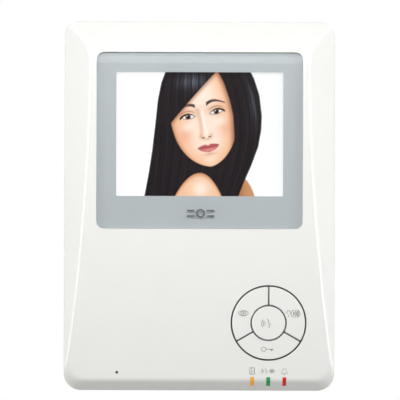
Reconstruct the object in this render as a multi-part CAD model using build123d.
"""Video intercom monitor for wall mounting: steel wall bracket, rear cover, bowed front cover,
4-inch display, round keypad, speaker, microphone and main board.

Every piece is drawn lying on its back: x to the right, y up the wall, z out of the wall towards
the person who uses it. stand_up() then turns it into the part's own frame: +X right, +Z up and
+Y into the wall, with the origin on the wall plane at the middle of the fixing holes.
All sizes are in millimetres.
"""

import os
from math import asin, cos, degrees, radians, sin, sqrt, tan

from build123d import *

# ---------------------------------------------------------------- driving dimensions
# Outer form
body_width = 132.0
body_height = 180.0
body_depth = 27.0  # wall to the highest line of the face
top_corner_radius = 6.5
bottom_corner_radius = 8.5
crest_below_top = 33.0  # the face stands furthest out on this line
face_fall = 8.3  # how much lower the bowed face lies at the bottom edge
roll_below_top = 21.5  # where the face starts to roll back to the top edge
roll_radius = 23.0
flank_angle = 40.0  # slope of every flank against the wall
side_flank_rise = 10.05  # side edge to crest, at mid height
side_edge_tilt = 0.0192  # the side edges come forward towards the bottom
bottom_flank_rise = 12.1
mitre_radius = 17.0  # between the side and bottom flanks
crease_radius = 3.0  # between the flanks and the face
cover_wall = 2.2

# Display window
window_width = 100.1
window_height = 85.8
window_below_top = 15.2
window_corner_radius = 3.6
lens_gap = 0.12
lens_thickness = 1.6
print_thickness = 0.1
tape_thickness = 0.3
ledge_thickness = 1.5
ledge_web = 2.0  # material around the lens pocket
view_width = 81.0
view_height = 60.15
view_below_top = 55.0  # centre of the picture

# Display module
module_width = 92.0
module_height = 71.15
module_thickness = 4.3
module_drop = 1.5  # module centre below the picture centre
module_front_depth = 3.3  # face crest to the front of the steel frame
bezel_sheet = 0.4
panel_thickness = 1.6
holder_thickness = 1.5
holder_width = 107.0
holder_height = 76.0
holder_opening_width = 78.0
holder_opening_height = 56.0
holder_boss_span = 56.0
holder_boss_gap = 1.1  # between the module and its bosses
holder_corner_radius = 2.0
cable_half_width = 10.0
cable_thickness = 0.15
cable_bend_radius = 0.9

# Keypad
keypad_x = 33.8
keypad_above_bottom = 33.3
keypad_radius = 18.1  # middle of the outer gap
centre_key_radius = 8.5  # middle of the inner gap
key_gap = 0.75
key_flange_play = 0.15  # between the cover and the keys' flanges
key_flange_thickness = 0.8
key_flange_reach = 1.9
mat_base = 1.0
mat_rim = 1.5  # mat outside the keys
dome_height = 2.4
dome_base_radius = 3.6
dome_top_radius = 2.4
dome_wall = 0.8
rib_width = 0.46
rib_recess = 0.6
plunger_radius = 1.9
plunger_play = 0.1
guide_flange_width = 2.6
guide_play = 0.3  # round the keys' flanges
guide_front_play = 0.15  # the guide's ribs stop this far in front of the flanges' level
ear_radius = 2.6
ear_offset = 2.0  # ear centre outside the guide's flange
stake_radius = 1.0
keypad_boss_gap = 2.6  # between the guide's ear and the board's boss beside it
key_corner_radius = 0.5

# Indicator lights, left to right, and the microphone
light_width = 1.7
light_height = 4.2
light_pitch = 7.85
lights_above_bottom = 4.6
light_recess = 0.12
light_gap = 0.08
mic_hole_radius = 0.7
mic_x = -40.0
mic_above_bottom = 9.0
mic_capsule_radius = 3.0
mic_capsule_height = 1.9

# Loudspeaker and its sound slots
speaker_x = -18.0
speaker_above_bottom = 44.0
speaker_radius = 18.0
speaker_seat_depth = 8.2  # face crest to the speaker's seat
gasket_thickness = 0.4
gasket_width = 1.3
speaker_rim = 1.0  # cover's rim round the speaker's flange
speaker_rim_play = 0.2
magnet_depth = 3.8  # behind the flange
speaker_flange_thickness = 0.8
sound_slot_count = 9
sound_slot_width = 1.6
sound_slot_pitch = 4.0
sound_slot_low = 9.0
sound_slot_high = 13.6

# Main board
board_clearance = 5.4  # rear cover's floor to the board
board_thickness = 1.6
board_edge_gap = 1.2
board_bottom_gap = 0.6
board_below_top = 17.0

# Rear cover
rear_inset = 0.4
rear_wall = 2.0
rear_stand_off = 0.3
rear_floor_back = 3.6
rear_floor_front = 5.6
parting_gap = 0.4
tongue_height = 1.7
tongue_thickness = 1.2
tongue_play = 0.15
vent_count = 9
vent_pitch = 5.0
vent_width = 2.0
vent_height = 10.0
vents_below_top = 15.0
label_width = 48.0
label_height = 12.0
label_above_bottom = 16.0
label_thickness = 0.1
cable_window_width = 48.0
cable_window_height = 40.0
switch_window_width = 13.4
switch_window_height = 8.0

# Wall bracket
bracket_width = 100.0
bracket_height = 128.0
bracket_sheet = 1.0
bracket_corner_radius = 4.0
bracket_window_width = 50.0
bracket_window_height = 40.0
square_box_spacing = 83.5  # screws of a rectangular flush box, one above the other
round_box_spacing = 60.0  # screws of a round flush box, side by side
wall_screw_hole_radius = 2.25
hook_x = 38.0
hook_y = 50.0
hook_width = 10.0
hook_lip = 6.0
hook_clearance = 0.3

# Adjuster wheels in the right side wall
wheel_radius = 5.2
wheel_thickness = 2.0
pot_base_height = 1.2
pot_base_half = 3.2
wheel_float = 0.1  # between a wheel and its base
wheel_recess = 0.4
wheel_slot_play = 0.25
wheel_pitch = 16.0
wheel_middle_y = 8.0
spindle_radius = 1.5
spindle_clearance = 0.05
notch_count = 24
notch_radius = 0.42
notch_offset = 0.15  # notch centres outside the wheel's rim

# Screws
case_screw_radius = 1.25
board_screw_radius = 1.0
screw_clearance = 0.05
screw_hole_play = 0.2  # round the shanks, in the pieces that the screws hold
case_screw_length = 12.0
case_hole_depth = 10.8
board_screw_length = 5.6
board_hole_depth = 4.6
holder_screw_length = 5.0
holder_hole_depth = 3.8
speaker_screw_length = 3.0
speaker_hole_depth = 3.1
case_boss_radius = 4.0
case_boss_inset = 8.5
top_boss_inset = 10.0
bottom_boss_inset = 12.0
board_boss_radius = 3.0
board_boss_low_y = -28.0
board_boss_top_inset = 9.0
holder_boss_radius = 2.5
speaker_boss_radius = 2.1
speaker_boss_offset = 2.2  # boss centres outside the speaker's flange

# ---------------------------------------------------------------- worked-out places
half_width = body_width / 2
half_height = body_height / 2
crest_y = half_height - crest_below_top
face_run = half_height + crest_y
face_radius = (face_run**2 + face_fall**2) / (2 * face_fall)
flank_slope = tan(radians(flank_angle))
side_edge_depth = body_depth - side_flank_rise
bottom_edge_depth = body_depth - bottom_flank_rise
front_cover_back = rear_floor_front + parting_gap
reach = 60.0  # longer than any cut has to be

window_y = half_height - window_below_top - window_height / 2
view_y = half_height - view_below_top
module_y = view_y - module_drop
module_front = body_depth - module_front_depth
module_back = module_front - module_thickness
holder_back = module_back - holder_thickness
pocket_depth = lens_thickness + print_thickness + tape_thickness
ledge_depth = pocket_depth + ledge_thickness
ledge_opening_width = module_width + 1.0
ledge_opening_height = module_height + 1.0

keypad_y = -half_height + keypad_above_bottom
key_flange_depth = cover_wall + key_flange_play
key_thickness = key_flange_depth + key_flange_thickness
sector_inner = centre_key_radius + key_gap / 2
sector_outer = keypad_radius - key_gap / 2
keypad_hole_radius = keypad_radius + key_gap / 2
centre_outer = centre_key_radius - key_gap / 2
sector_plunger_radius = (sector_inner + sector_outer) / 2
spoke_angles = (90.0, 210.0, 330.0)
sector_angles = {"view": 150.0, "light": 30.0, "door": 270.0}
guide_inner = sector_outer + key_flange_reach + guide_play
guide_outer = guide_inner + guide_flange_width
ear_distance = guide_outer + ear_offset

lights_y = -half_height + lights_above_bottom
light_x = {
    "led_yellow": keypad_x - light_pitch,
    "led_green": keypad_x,
    "led_red": keypad_x + light_pitch,
}
mic_y = -half_height + mic_above_bottom
speaker_y = -half_height + speaker_above_bottom
speaker_seat = body_depth - speaker_seat_depth
speaker_flange_front = speaker_seat - gasket_thickness
speaker_flange_back = speaker_flange_front - speaker_flange_thickness

board_back = rear_floor_front + board_clearance
board_front = board_back + board_thickness
board_top = half_height - board_below_top
board_half_width = half_width - cover_wall - board_edge_gap
board_bottom = -half_height + cover_wall + board_bottom_gap
dome_top = board_front + mat_base + dome_height

case_bosses = [
    (side * (half_width - case_boss_inset), y)
    for y in (half_height - top_boss_inset, -half_height + bottom_boss_inset)
    for side in (-1, 1)
]
board_boss_x = half_width - case_boss_inset
keypad_boss_distance = ear_distance + ear_radius + board_boss_radius + keypad_boss_gap
keypad_boss_angle = radians(212.0)
board_bosses = [
    (-board_boss_x, board_top - board_boss_top_inset),
    (board_boss_x, board_top - board_boss_top_inset),
    (-board_boss_x, board_boss_low_y),
    (board_boss_x, board_boss_low_y),
    (
        keypad_x + keypad_boss_distance * cos(keypad_boss_angle),
        keypad_y + keypad_boss_distance * sin(keypad_boss_angle),
    ),
]
holder_boss_x = module_width / 2 + holder_boss_gap + holder_boss_radius
holder_bosses = [
    (side * holder_boss_x, module_y + up * holder_boss_span / 2)
    for up in (-1, 1)
    for side in (-1, 1)
]
speaker_bosses = [
    (
        speaker_x + (speaker_radius + speaker_boss_offset) * cos(radians(angle)),
        speaker_y + (speaker_radius + speaker_boss_offset) * sin(radians(angle)),
    )
    for angle in (30.0, 150.0, 210.0, 330.0)
]
wheel_x = half_width - wheel_recess - wheel_radius
wheel_low = board_back - pot_base_height - wheel_float - wheel_thickness
wheel_places = {
    "wheel_brightness": wheel_middle_y + wheel_pitch,
    "wheel_colour": wheel_middle_y,
    "wheel_volume": wheel_middle_y - wheel_pitch,
}
hooks = [(x, y) for y in (hook_y, -hook_y) for x in (-hook_x, hook_x)]

parts = {}


# ---------------------------------------------------------------- shared shapes
def block(x0, x1, y0, y1, z0, z1):
    """A box from its six faces."""
    middle = Pos((x0 + x1) / 2, (y0 + y1) / 2, (z0 + z1) / 2)
    return middle * Box(x1 - x0, y1 - y0, z1 - z0)


def post(x, y, radius, z0, z1):
    """A round post between two heights."""
    return Pos(x, y, (z0 + z1) / 2) * Cylinder(radius, z1 - z0)


def pipe(x, y, outer, inner, z0, z1):
    """A round tube between two heights."""
    return post(x, y, outer, z0, z1) - post(x, y, inner, z0 - 1, z1 + 1)


def raise_up(sketch, z0, z1):
    """A flat outline pulled up from one height to another."""
    return extrude(Pos(0, 0, z0) * sketch, z1 - z0)


def rounded(width, height, radius, x=0.0, y=0.0):
    """A rectangle with round corners."""
    return Pos(x, y) * RectangleRounded(width, height, radius)


def outline(inset):
    """The case seen from the front, moved in by inset on every side."""
    shape = Rectangle(body_width - 2 * inset, body_height - 2 * inset)
    shape = fillet(shape.vertices().group_by(Axis.Y)[-1], top_corner_radius - inset)
    return fillet(shape.vertices().group_by(Axis.Y)[0], bottom_corner_radius - inset)


def under_face(inset):
    """Everything behind the bowed face moved in by inset: two arcs and the top flank, seen from
    the side and pulled across the width."""
    face_centre = (crest_y, body_depth - face_radius)
    roll_start = half_height - roll_below_top
    turn = asin((roll_start - crest_y) / face_radius)
    roll_centre = (
        crest_y + (face_radius - roll_radius) * sin(turn),
        face_centre[1] + (face_radius - roll_radius) * cos(turn),
    )
    past = half_height + 10.0
    low = degrees(asin((past + crest_y) / face_radius))
    turn = degrees(turn)
    bow = CenterArc(face_centre, face_radius - inset, 90 - turn, turn + low)
    roll = CenterArc(roll_centre, roll_radius - inset, 90 - flank_angle, flank_angle - turn)
    corner = roll @ 0
    slope_end = (past, corner.Y - (past - corner.X) * flank_slope)
    back = -20.0
    bow_end = bow @ 1
    edges = [
        bow,
        roll,
        Line(corner, slope_end),
        Line(slope_end, (past, back)),
        Line((past, back), (bow_end.X, back)),
        Line((bow_end.X, back), bow_end),
    ]
    return extrude(Plane.YZ * make_face(edges), 2 * reach, both=True)


def flank_plane(side, inset):
    """The plane of the left (-1), right (1) or bottom (0) flank, moved in by inset."""
    if side:
        point = Vector(side * half_width, 0, side_edge_depth)
        normal = Vector(side * flank_slope, side_edge_tilt, 1)
    else:
        point = Vector(0, -half_height, bottom_edge_depth)
        normal = Vector(0, -flank_slope, 1)
    normal = normal.normalized()
    return Plane(origin=point - normal * inset, z_dir=normal)


def under_flanks(inset):
    """Everything behind the three flanks, with round mitres where they meet."""
    solid = block(-200, 200, -200, 200, -40, 60)
    planes = {side: flank_plane(side, inset) for side in (-1, 1, 0)}
    for plane in planes.values():
        solid = split(solid, bisect_by=plane, keep=Keep.BOTTOM)

    def lies_on(edge, plane):
        return abs(plane.to_local_coords(edge @ 0.5).Z) < 1e-4

    mitres = [
        edge
        for edge in solid.edges()
        if lies_on(edge, planes[0]) and (lies_on(edge, planes[-1]) or lies_on(edge, planes[1]))
    ]
    return fillet(mitres, mitre_radius - inset)


def crown(inset, low):
    """The whole front form moved in by inset, from the height low up to its face."""
    return raise_up(outline(inset), low, reach) & under_face(inset) & under_flanks(inset)


def round_creases(solid):
    """Round the creases, which are the edges between two outward surfaces at an angle."""
    creases = []
    for edge in solid.edges():
        middle = edge @ 0.5
        normals = [
            face.normal_at(middle)
            for face in solid.faces()
            if any(edge.is_same(other) for other in face.edges())
        ]
        outward = len(normals) == 2 and all(normal.Z > 0.3 for normal in normals)
        if outward and normals[0].get_angle(normals[1]) > 2:
            creases.append(edge)
    return fillet(creases, crease_radius)


def skin(sketch, top, bottom):
    """The layer under an outline that lies between two depths below the bowed face."""
    return (raise_up(sketch, 0, reach) & under_face(top)) - under_face(bottom)


def face_depth(y):
    """Height of the bowed face above the wall, below where it rolls back to the top edge."""
    return body_depth - face_radius + sqrt(face_radius**2 - (y - crest_y) ** 2)


def screw(x, y, seat, head_radius, head_height, shank_radius, length):
    """A pan-head screw driven towards the face, with a cross recess, its head under the seat."""
    body = post(x, y, head_radius, seat - head_height, seat)
    body += post(x, y, shank_radius, seat, seat + length)
    arm = head_radius * 0.55
    width = head_radius * 0.16
    depth = head_height * 0.5
    low = seat - head_height
    body -= block(x - arm, x + arm, y - width, y + width, low - 1, low + depth)
    body -= block(x - width, x + width, y - arm, y + arm, low - 1, low + depth)
    return body


def group(shapes):
    """Separate solids that share one node."""
    return Compound(children=[solid for shape in shapes for solid in shape.solids()])


def sector(inner, outer, gap, angle):
    """A third of a ring, with its straight edges half a gap inside the dividing lines."""
    apex = Vector(1, 0).rotate(Axis.Z, angle) * (gap / 2 / sin(radians(60)))
    rays = [Vector(1, 0).rotate(Axis.Z, angle + turn) * reach for turn in (-60, 0, 60)]
    corners = [apex] + [apex + ray * (2 if i == 1 else 1) for i, ray in enumerate(rays)]
    wedge = make_face(Polyline(*[(c.X, c.Y) for c in corners], close=True))
    return (Circle(outer) - Circle(inner)) & wedge


def at_keypad(sketch):
    return Pos(keypad_x, keypad_y) * sketch


def spoke(angle, inner, outer, width):
    """A strip along one of the keypad's dividing lines."""
    middle = Pos((inner + outer) / 2, 0)
    return Rot(0, 0, angle) * middle * Rectangle(outer - inner, width)


# ---------------------------------------------------------------- front cover
lens_outline = rounded(
    window_width - 2 * lens_gap,
    window_height - 2 * lens_gap,
    window_corner_radius - lens_gap,
    0,
    window_y,
)
pocket_outline = rounded(window_width, window_height, window_corner_radius, 0, window_y)
ledge_opening = rounded(ledge_opening_width, ledge_opening_height, 1.0, 0, module_y)
view_opening = rounded(view_width, view_height, 0.4, 0, view_y)


def build_front_cover():
    """Moulded shell with the lens pocket, keypad hole, lights, bosses and speaker seat."""
    cover = round_creases(crown(0, front_cover_back)) - crown(cover_wall, front_cover_back - 1)
    inner_limit = crown(cover_wall / 2, 0)

    ledge_block = rounded(
        window_width + 2 * ledge_web,
        window_height + 2 * ledge_web,
        window_corner_radius + ledge_web,
        0,
        window_y,
    )
    cover += skin(ledge_block, cover_wall / 2, ledge_depth) & inner_limit

    for x, y in case_bosses:
        boss = post(x, y, case_boss_radius, rear_floor_front, reach) & inner_limit
        cover += boss
        hole_top = rear_floor_front + case_hole_depth
        hole_radius = case_screw_radius + screw_clearance
        cover -= post(x, y, hole_radius, rear_floor_front - 1, hole_top)
    for x, y in board_bosses:
        cover += post(x, y, board_boss_radius, board_front, reach) & inner_limit
        hole_top = board_front + board_hole_depth
        cover -= post(x, y, board_screw_radius + screw_clearance, board_front - 1, hole_top)
    for x, y in holder_bosses:
        cover += post(x, y, holder_boss_radius, module_back, reach) & inner_limit
        hole_top = module_back + holder_hole_depth
        cover -= post(x, y, board_screw_radius + screw_clearance, module_back - 1, hole_top)
    cover -= skin(pocket_outline, -1.0, pocket_depth)
    cover -= raise_up(ledge_opening, holder_back, reach)

    cover += build_speaker_seat() & inner_limit
    for x, y in speaker_bosses:
        low = speaker_flange_back - 1
        hole_top = speaker_flange_back + speaker_hole_depth
        cover -= post(x, y, board_screw_radius + screw_clearance, low, hole_top)
    cover -= raise_up(at_keypad(Circle(keypad_hole_radius)), dome_top, reach)
    for angle in spoke_angles:
        stake = Vector(ear_distance, 0).rotate(Axis.Z, angle)
        x = keypad_x + stake.X
        y = keypad_y + stake.Y
        stake_base = post(x, y, stake_radius, 0, reach) - under_face(key_flange_depth + 1.9)
        cover += stake_base & inner_limit

    for x in light_x.values():
        hole_size = (light_width + 2 * light_gap, light_height + 2 * light_gap)
        hole = Pos(x, lights_y) * Rectangle(*hole_size)
        cover -= raise_up(hole, board_front + 0.4, reach)
    cover -= post(mic_x, mic_y, mic_hole_radius, board_front + 1.0, reach)

    for place in range(sound_slot_count):
        x = speaker_x + (place - (sound_slot_count - 1) / 2) * sound_slot_pitch
        half = sound_slot_width / 2
        low = -half_height - 1
        high = -half_height + cover_wall + 0.1
        cover -= block(x - half, x + half, low, high, sound_slot_low, sound_slot_high)

    slot_half = sqrt(wheel_radius**2 - (half_width - cover_wall - wheel_x) ** 2) + 0.5
    slot_low = wheel_low - wheel_slot_play
    slot_high = wheel_low + wheel_thickness + wheel_slot_play
    for y in wheel_places.values():
        inner = half_width - cover_wall - 0.1
        cover -= block(inner, reach + half_width, y - slot_half, y + slot_half, slot_low, slot_high)
    return cover


def build_speaker_seat():
    """Ring that the gasket lies on, a rim around the speaker's flange and four screw bosses."""
    outer = speaker_radius + speaker_rim
    seat = pipe(speaker_x, speaker_y, outer, speaker_radius - 1.5, speaker_seat, reach)
    low = speaker_flange_back
    seat += pipe(speaker_x, speaker_y, outer, speaker_radius + speaker_rim_play, low, reach)
    for x, y in speaker_bosses:
        seat += post(x, y, speaker_boss_radius, low, reach) - post(
            speaker_x, speaker_y, speaker_radius + speaker_rim_play, low - 1, speaker_seat
        )
    outlet = 9.0  # half the width of the gap that lets the sound down to its slots
    seat -= block(
        speaker_x - outlet,
        speaker_x + outlet,
        speaker_y - speaker_radius - 3,
        speaker_y - 8,
        speaker_seat,
        reach,
    )
    return seat


parts["front_cover"] = build_front_cover()

# ---------------------------------------------------------------- display window
parts["window_lens"] = skin(lens_outline, 0, lens_thickness)
parts["window_mask"] = skin(
    lens_outline - view_opening, lens_thickness, lens_thickness + print_thickness
)
tape_outline = rounded(
    window_width - 1.0, window_height - 1.0, window_corner_radius - 0.5, 0, window_y
)
tape_opening = rounded(ledge_opening_width + 0.6, ledge_opening_height + 0.6, 1.0, 0, module_y)
parts["window_tape"] = skin(
    tape_outline - tape_opening, lens_thickness + print_thickness, pocket_depth
)

# ---------------------------------------------------------------- display module
half_module = module_width / 2
module_low = module_y - module_height / 2
module_high = module_y + module_height / 2
panel_front = module_front - bezel_sheet
panel_back = panel_front - panel_thickness
fit_gap = 0.05

bezel = block(-half_module, half_module, module_low, module_high, module_back + 0.4, module_front)
bezel -= block(
    -half_module + bezel_sheet,
    half_module - bezel_sheet,
    module_low + bezel_sheet,
    module_high - bezel_sheet,
    module_back - 1,
    panel_front,
)
bezel -= raise_up(rounded(view_width + 3.5, view_height + 4.3, 0.5, 0, view_y), 10, reach)
parts["lcd_frame"] = bezel

inner_edge = bezel_sheet + fit_gap
parts["lcd_panel"] = block(
    -half_module + inner_edge,
    half_module - inner_edge,
    module_low + inner_edge,
    module_high - inner_edge,
    panel_back,
    panel_front,
)
parts["lcd_backlight"] = block(
    -half_module + inner_edge,
    half_module - inner_edge,
    module_low + inner_edge,
    module_high - inner_edge,
    module_back,
    panel_back,
)

holder = raise_up(
    rounded(holder_width, holder_height, holder_corner_radius, 0, module_y)
    - rounded(holder_opening_width, holder_opening_height, holder_corner_radius, 0, module_y),
    holder_back,
    module_back,
)
holder -= block(
    -cable_half_width - 1,
    cable_half_width + 1,
    module_y - holder_height / 2 - 1,
    module_low + 0.8,
    holder_back - 1,
    module_back + 1,
)
for x, y in holder_bosses:
    holder -= post(x, y, board_screw_radius + screw_hole_play, holder_back - 1, module_back + 1)
parts["lcd_holder"] = holder
parts["lcd_holder_screws"] = group(
    screw(x, y, holder_back, 2.0, 1.3, board_screw_radius, holder_screw_length)
    for x, y in holder_bosses
)

# flat cable from the module's lower edge down to its connector on the board
cable_out_z = module_back + 1.4
connector_y = module_low - 3.9
cable_in_z = board_front + 0.8
cable_drop = module_low - 2.5
cable_path = FilletPolyline(
    (module_low - cable_thickness / 2, cable_out_z),
    (cable_drop, cable_out_z),
    (cable_drop, cable_in_z),
    (connector_y + cable_thickness / 2, cable_in_z),
    radius=cable_bend_radius,
)
cable_side = offset(cable_path, cable_thickness / 2, side=Side.BOTH)
cable_face = Plane.YZ * make_face(cable_side.edges())
parts["lcd_cable"] = extrude(cable_face, cable_half_width, both=True)
parts["cable_connector"] = block(
    -cable_half_width - 1,
    cable_half_width + 1,
    connector_y - 4.2,
    connector_y,
    board_front,
    board_front + 1.7,
)

# ---------------------------------------------------------------- keypad


def plunger(x, y):
    """The stud under a key that presses a dome of the mat."""
    stud = post(x, y, plunger_radius, dome_top + plunger_play, reach)
    return stud & under_face(key_thickness - 0.5)


for name, angle in sector_angles.items():
    cap = fillet(sector(sector_inner, sector_outer, key_gap, angle).vertices(), key_corner_radius)
    flange = sector(
        sector_outer - 1.0, sector_outer + key_flange_reach, key_gap + 2.0, angle
    )
    key = skin(at_keypad(cap), 0, key_thickness)
    key += skin(at_keypad(flange), key_flange_depth, key_thickness)
    arm = Vector(sector_plunger_radius, 0).rotate(Axis.Z, angle)
    key += plunger(keypad_x + arm.X, keypad_y + arm.Y)
    parts[f"key_{name}"] = key

talk_key = skin(at_keypad(Circle(centre_outer)), 0, key_thickness)
talk_key += skin(at_keypad(Circle(sector_inner - 0.13)), key_flange_depth, key_thickness)
talk_key += plunger(keypad_x, keypad_y)
parts["key_talk"] = talk_key

rib_half = rib_width / 2
guide = skin(
    at_keypad(Circle(centre_key_radius + rib_half) - Circle(centre_key_radius - rib_half)),
    rib_recess,
    key_flange_depth - guide_front_play,
)
foot_inner = keypad_hole_radius - 0.6
for angle in spoke_angles:
    rib = spoke(angle, centre_key_radius, foot_inner + 0.45, rib_width)
    guide += skin(at_keypad(rib), rib_recess, key_flange_depth - guide_front_play)
    deep_rib = spoke(angle, sector_inner + 0.4, foot_inner + 0.45, rib_width)
    guide += skin(at_keypad(deep_rib), rib_recess, key_thickness)
    foot = spoke(angle, foot_inner, guide_inner + 0.5, 1.6)
    guide += skin(at_keypad(foot), key_flange_depth, key_thickness)
    ear = Rot(0, 0, angle) * Pos(ear_distance, 0) * Circle(ear_radius)
    guide += skin(at_keypad(ear), key_flange_depth, key_thickness)
guide += skin(
    at_keypad(Circle(guide_outer) - Circle(guide_inner)), key_flange_depth, key_thickness
)
for angle in spoke_angles:
    hole = Rot(0, 0, angle) * Pos(ear_distance, 0) * Circle(stake_radius + 0.05)
    guide -= raise_up(at_keypad(hole), 0, reach)
parts["key_guide"] = guide

mat = post(keypad_x, keypad_y, keypad_radius + mat_rim, board_front, board_front + mat_base)
dome_places = [Vector(0, 0)] + [
    Vector(sector_plunger_radius, 0).rotate(Axis.Z, angle) for angle in sector_angles.values()
]
for place in dome_places:
    low = board_front + mat_base
    middle = Pos(keypad_x + place.X, keypad_y + place.Y, low + dome_height / 2)
    mat += middle * Cone(dome_base_radius, dome_top_radius, dome_height)
    hollow = Pos(keypad_x + place.X, keypad_y + place.Y, low + 0.2)
    mat -= hollow * Cone(dome_base_radius - dome_wall, dome_top_radius - 0.6, dome_height)
parts["key_mat"] = mat

# ---------------------------------------------------------------- lights and microphone
for name, x in light_x.items():
    body = Pos(x, lights_y) * Rectangle(light_width, light_height)
    light = raise_up(body, board_front + 1.6, reach) & crown(light_recess, 0)
    for side in (-1, 1):
        lead = 0.25
        y = lights_y + side * 0.9
        light += block(x - lead, x + lead, y - lead, y + lead, board_front, board_front + 2.0)
    parts[name] = light

capsule_low = board_front + 0.1
capsule_top = capsule_low + mic_capsule_height
parts["mic_capsule"] = post(mic_x, mic_y, mic_capsule_radius, capsule_low, capsule_top)
boot_neck_radius = 2.4
boot_neck_top = face_depth(mic_y - boot_neck_radius) - cover_wall - 0.05
boot = post(mic_x, mic_y, mic_capsule_radius + 1.0, board_front, capsule_top + 0.9)
boot += post(mic_x, mic_y, boot_neck_radius, capsule_top, boot_neck_top)
boot -= post(mic_x, mic_y, mic_capsule_radius, board_front - 1, capsule_top)
boot -= post(mic_x, mic_y, 0.9, capsule_top - 1, boot_neck_top + 1)
parts["mic_boot"] = boot

# ---------------------------------------------------------------- loudspeaker
speaker_spot = Pos(speaker_x, speaker_y, 0)


def turned(points):
    """A ring-shaped solid: an outline of (radius, height) points turned about the speaker axis."""
    outline_face = Plane.XZ * make_face(Polyline(*points, close=True))
    return speaker_spot * revolve(outline_face, Axis.Z)


magnet_low = speaker_flange_back - magnet_depth
basket = turned(
    [
        (15.9, speaker_flange_front),
        (speaker_radius, speaker_flange_front),
        (speaker_radius, speaker_flange_back),
        (17.0, speaker_flange_back),
        (10.2, magnet_low + 1.2),
        (8.8, magnet_low + 1.2),
        (8.8, magnet_low),
        (0, magnet_low),
        (0, magnet_low + 1.6),
        (9.2, magnet_low + 1.9),
        (15.9, speaker_flange_back + 0.05),
    ]
)
tab_y = speaker_y + speaker_radius - 2.6
basket += block(
    speaker_x - 3,
    speaker_x + 3,
    tab_y - 1.4,
    tab_y + 1.6,
    speaker_flange_back - 1.0,
    speaker_flange_back,
)
parts["speaker_frame"] = basket
cone_rim = speaker_flange_front - 0.1
parts["speaker_cone"] = turned(
    [
        (15.8, cone_rim),
        (15.8, cone_rim - 0.5),
        (14.4, cone_rim - 0.1),
        (13.0, cone_rim - 0.7),
        (5.2, magnet_low + 2.9),
        (4.9, magnet_low + 2.1),
        (4.5, magnet_low + 2.1),
        (4.5, magnet_low + 3.1),
        (0, magnet_low + 3.9),
        (0, magnet_low + 4.2),
        (4.7, magnet_low + 3.4),
        (12.9, cone_rim - 0.3),
        (14.4, cone_rim + 0.3),
    ]
)
gasket_outer = speaker_radius - 0.1
parts["speaker_gasket"] = pipe(
    speaker_x, speaker_y, gasket_outer, gasket_outer - gasket_width, speaker_flange_front, speaker_seat
)
parts["speaker_screws"] = group(
    screw(x, y, speaker_flange_back, 2.6, 1.1, board_screw_radius, speaker_screw_length)
    for x, y in speaker_bosses
)

socket_y = tab_y + 8.0
parts["speaker_connector"] = block(
    speaker_x - 3.2, speaker_x + 3.2, socket_y, socket_y + 4.4, board_front, board_front + 2.8
)
wire_high = speaker_flange_back - 0.5
wire_low = board_front + 1.4
wires = []
for side in (-1, 1):
    x = speaker_x + side * 1.3
    route = FilletPolyline(
        (x, tab_y + 1.6, wire_high),
        (x, tab_y + 3.6, wire_high),
        (x, socket_y - 1.9, wire_low),
        (x, socket_y, wire_low),
        radius=2.2,
    )
    wires.append(sweep(Plane(origin=route @ 0, z_dir=route % 0) * Circle(0.4), path=route))
parts["speaker_leads"] = group(wires)

half_mesh = sound_slot_count * sound_slot_pitch / 2
parts["sound_mesh"] = block(
    speaker_x - half_mesh,
    speaker_x + half_mesh,
    -half_height + cover_wall,
    -half_height + cover_wall + 0.2,
    sound_slot_low - 0.8,
    sound_slot_high - 0.2,
)

# ---------------------------------------------------------------- main board
notch_side = case_boss_radius + 0.8
board = block(
    -board_half_width, board_half_width, board_bottom, board_top, board_back, board_front
)
for x, y in case_bosses:
    corner_x = x / abs(x) * reach * 2
    low_x, high_x = sorted((x - notch_side * x / abs(x), corner_x))
    low_y, high_y = sorted((y - notch_side * y / abs(y), y / abs(y) * reach * 2))
    board -= block(low_x, high_x, low_y, high_y, board_back - 1, board_front + 1)
for x, y in board_bosses:
    board -= post(x, y, board_screw_radius + screw_hole_play, board_back - 1, board_front + 1)
parts["main_board"] = board
parts["board_screws"] = group(
    screw(x, y, board_back, 2.3, 1.5, board_screw_radius, board_screw_length)
    for x, y in board_bosses
)

parts["main_chip"] = block(-12, 2, module_y - 15, module_y - 1, board_front, board_front + 1.4)
parts["video_chip"] = block(16, 26, module_y - 13, module_y - 3, board_front, board_front + 1.2)
parts["crystal"] = block(-9, -1, module_y + 4, module_y + 7.5, board_front, board_front + 2.4)
parts["inductor"] = block(14, 22, module_y + 12, module_y + 20, board_front, board_front + 3.6)
parts["capacitors"] = group(
    post(x, module_y + 16.5, 3.15, board_front, board_front + 4.6) for x in (-34, -26, -18)
)
chip_columns = 8
parts["small_parts"] = group(
    block(x, x + 1.6, y, y + 0.9, board_front, board_front + 0.6)
    for y in (module_y - 20, module_y - 23, module_y + 23)
    for x in [-30 + 4.2 * column for column in range(chip_columns)]
)

# ---------------------------------------------------------------- adjuster wheels
base_low = board_back - pot_base_height
base_outer = min(wheel_x + pot_base_half, half_width - cover_wall - 0.2)
parts["pot_bases"] = group(
    block(
        wheel_x - pot_base_half,
        base_outer,
        y - pot_base_half,
        y + pot_base_half,
        base_low,
        board_back,
    )
    + post(wheel_x, y, spindle_radius, wheel_low + 0.2, base_low)
    for y in wheel_places.values()
)
for name, y in wheel_places.items():
    wheel = post(wheel_x, y, wheel_radius, wheel_low, wheel_low + wheel_thickness)
    wheel -= post(wheel_x, y, spindle_radius + spindle_clearance, 0, reach)
    for place in range(notch_count):
        angle = radians(place * 360 / notch_count)
        notch_x = wheel_x + (wheel_radius + notch_offset) * cos(angle)
        notch_y = y + (wheel_radius + notch_offset) * sin(angle)
        wheel -= post(notch_x, notch_y, notch_radius, 0, reach)
    parts[name] = wheel

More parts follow.
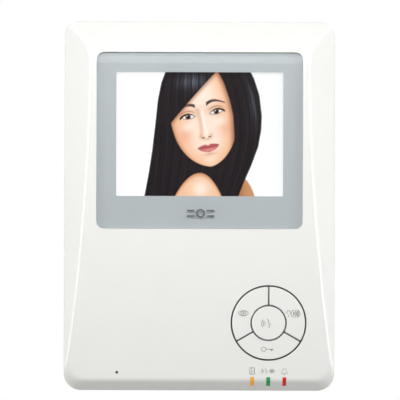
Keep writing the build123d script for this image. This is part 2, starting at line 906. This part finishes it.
# ---------------------------------------------------------------- terminals and option switches
terminal_y = 11.0
terminal_count = 8
terminal_pitch = 4.8
header_half = 20.3
header_low = board_back - 4.2
header = block(
    -header_half, header_half, terminal_y - 5, terminal_y + 5, header_low, board_back
)
header -= block(
    -header_half + 0.9, header_half - 0.9, terminal_y - 4.2, terminal_y + 4.2, 0, board_back - 1.4
)
plug_low = board_back - 9.2
plug_half = header_half - 1.0
plug = block(
    -plug_half, plug_half, terminal_y - 4.0, terminal_y + 4.0, plug_low, board_back - 1.5
)
terminal_screws = []
for place in range(terminal_count):
    x = (place - (terminal_count - 1) / 2) * terminal_pitch
    pin_y = terminal_y + 2.2
    header += block(x - 0.5, x + 0.5, pin_y - 0.5, pin_y + 0.5, plug_low + 3.2, board_back - 1.0)
    plug -= block(x - 0.6, x + 0.6, pin_y - 0.6, pin_y + 0.6, plug_low + 3.0, board_back)
    screw_y = terminal_y - 0.8
    plug -= post(x, screw_y, 1.55, plug_low - 1, plug_low + 2.2)
    terminal_screws.append(post(x, screw_y, 1.45, plug_low + 0.6, plug_low + 2.2))
    entry = Pos(x, terminal_y - 3.0, plug_low + 2.9 + 1.5) * Rot(90, 0, 0) * Cylinder(1.3, 4.0)
    plug -= entry
parts["terminal_header"] = header
parts["terminal_plug"] = plug
parts["terminal_screws"] = group(terminal_screws)

switch_y = -31.0
switch_low = board_back - 3.6
lever_travel = 1.2
lever_length = 1.3
lever_width = 1.1
lever_count = 4
switch_pitch = 2.54
switch_body = block(-5.9, 5.9, switch_y - 3.2, switch_y + 3.2, switch_low, board_back)
for place in range(lever_count):
    x = (place - (lever_count - 1) / 2) * switch_pitch
    slot_half_width = lever_width / 2 + 0.08
    slot_half_length = (lever_length + lever_travel) / 2 + 0.1
    switch_body -= block(
        x - slot_half_width,
        x + slot_half_width,
        switch_y - slot_half_length,
        switch_y + slot_half_length,
        switch_low - 1,
        switch_low + 1.7,
    )
    lever_bottom = switch_y - (lever_length + lever_travel) / 2
    parts[f"dip_lever_{place + 1}"] = block(
        x - lever_width / 2,
        x + lever_width / 2,
        lever_bottom,
        lever_bottom + lever_length,
        switch_low - 0.8,
        switch_low + 1.6,
    )
parts["dip_body"] = switch_body

# ---------------------------------------------------------------- rear cover
hook_neck_width = hook_width + 1.0
slot_height = hook_lip + bracket_sheet + 2.3
rear = raise_up(outline(rear_inset), rear_stand_off, rear_floor_front)
rear -= raise_up(outline(rear_inset + rear_wall), -1, rear_floor_back)
tongue_inset = cover_wall + tongue_play
rear += raise_up(
    outline(tongue_inset) - outline(tongue_inset + tongue_thickness),
    rear_floor_front,
    rear_floor_front + tongue_height,
)
floor_low = rear_floor_back - 1
floor_high = rear_floor_front + 1
rear -= raise_up(rounded(cable_window_width, cable_window_height, 2.0), floor_low, floor_high)
rear -= raise_up(
    rounded(switch_window_width, switch_window_height, 1.0, 0, switch_y), floor_low, floor_high
)
for x, y in hooks:
    rear -= block(
        x - hook_neck_width / 2,
        x + hook_neck_width / 2,
        y - slot_height + 0.1,
        y + 0.1,
        floor_low,
        floor_high,
    )
for x, y in case_bosses:
    rear -= post(x, y, case_screw_radius + 0.4, floor_low, floor_high)
for place in range(vent_count):
    x = (place - (vent_count - 1) / 2) * vent_pitch
    vent = rounded(vent_width, vent_height, 0.9, x, half_height - vents_below_top)
    rear -= raise_up(vent, floor_low, floor_high)
support_posts = [(-50.0, 36.0), (50.0, 36.0), (keypad_x - 22, keypad_y + 6), (55.0, keypad_y)]
for x, y in support_posts:
    rear += post(x, y, 2.0, rear_floor_front, board_back)
parts["rear_cover"] = rear
parts["cover_screws"] = group(
    screw(x, y, rear_floor_back, 2.75, 2.0, case_screw_radius, case_screw_length)
    for x, y in case_bosses
)
label_y = -half_height + label_above_bottom
parts["rating_label"] = block(
    -label_width / 2,
    label_width / 2,
    label_y - label_height / 2,
    label_y + label_height / 2,
    rear_floor_back - label_thickness,
    rear_floor_back,
)

# ---------------------------------------------------------------- wall bracket
plate = rounded(bracket_width, bracket_height, bracket_corner_radius)
plate -= rounded(bracket_window_width, bracket_window_height, 3.0)
for y in (-square_box_spacing / 2, square_box_spacing / 2):
    plate -= Pos(0, y) * Circle(wall_screw_hole_radius)
for x in (-round_box_spacing / 2, round_box_spacing / 2):
    plate -= Pos(x, 0) * Circle(wall_screw_hole_radius)
for x, y in hooks:
    lance_height = hook_lip + 3.5
    plate -= Pos(x, y - bracket_sheet - lance_height / 2) * Rectangle(
        hook_neck_width, lance_height
    )
bracket = raise_up(plate, 0, bracket_sheet)
lip_low = rear_floor_front + hook_clearance
lip_high = lip_low + bracket_sheet
for x, y in hooks:
    corner = (y - bracket_sheet, lip_high)
    side_view = make_face(
        Polyline(
            (y - bracket_sheet, 0),
            (y, 0),
            (y, lip_low),
            (y + hook_lip, lip_low),
            (y + hook_lip, lip_high),
            corner,
            close=True,
        )
    )
    bend = side_view.vertices().sort_by_distance(corner)[0]
    side_view = fillet(bend, bracket_sheet)
    bracket += Pos(x, 0, 0) * extrude(Plane.YZ * side_view, hook_width / 2, both=True)
parts["wall_bracket"] = bracket


# ---------------------------------------------------------------- write the pieces
def stand_up(shape):
    """Turn a piece that lies on its back upright: z out of the wall becomes -Y, y becomes +Z."""
    return Rot(90, 0, 0) * shape


os.makedirs("parts", exist_ok=True)
for name, shape in parts.items():
    export_step(stand_up(shape), f"parts/{name}.step")
print(len(parts), "parts written")
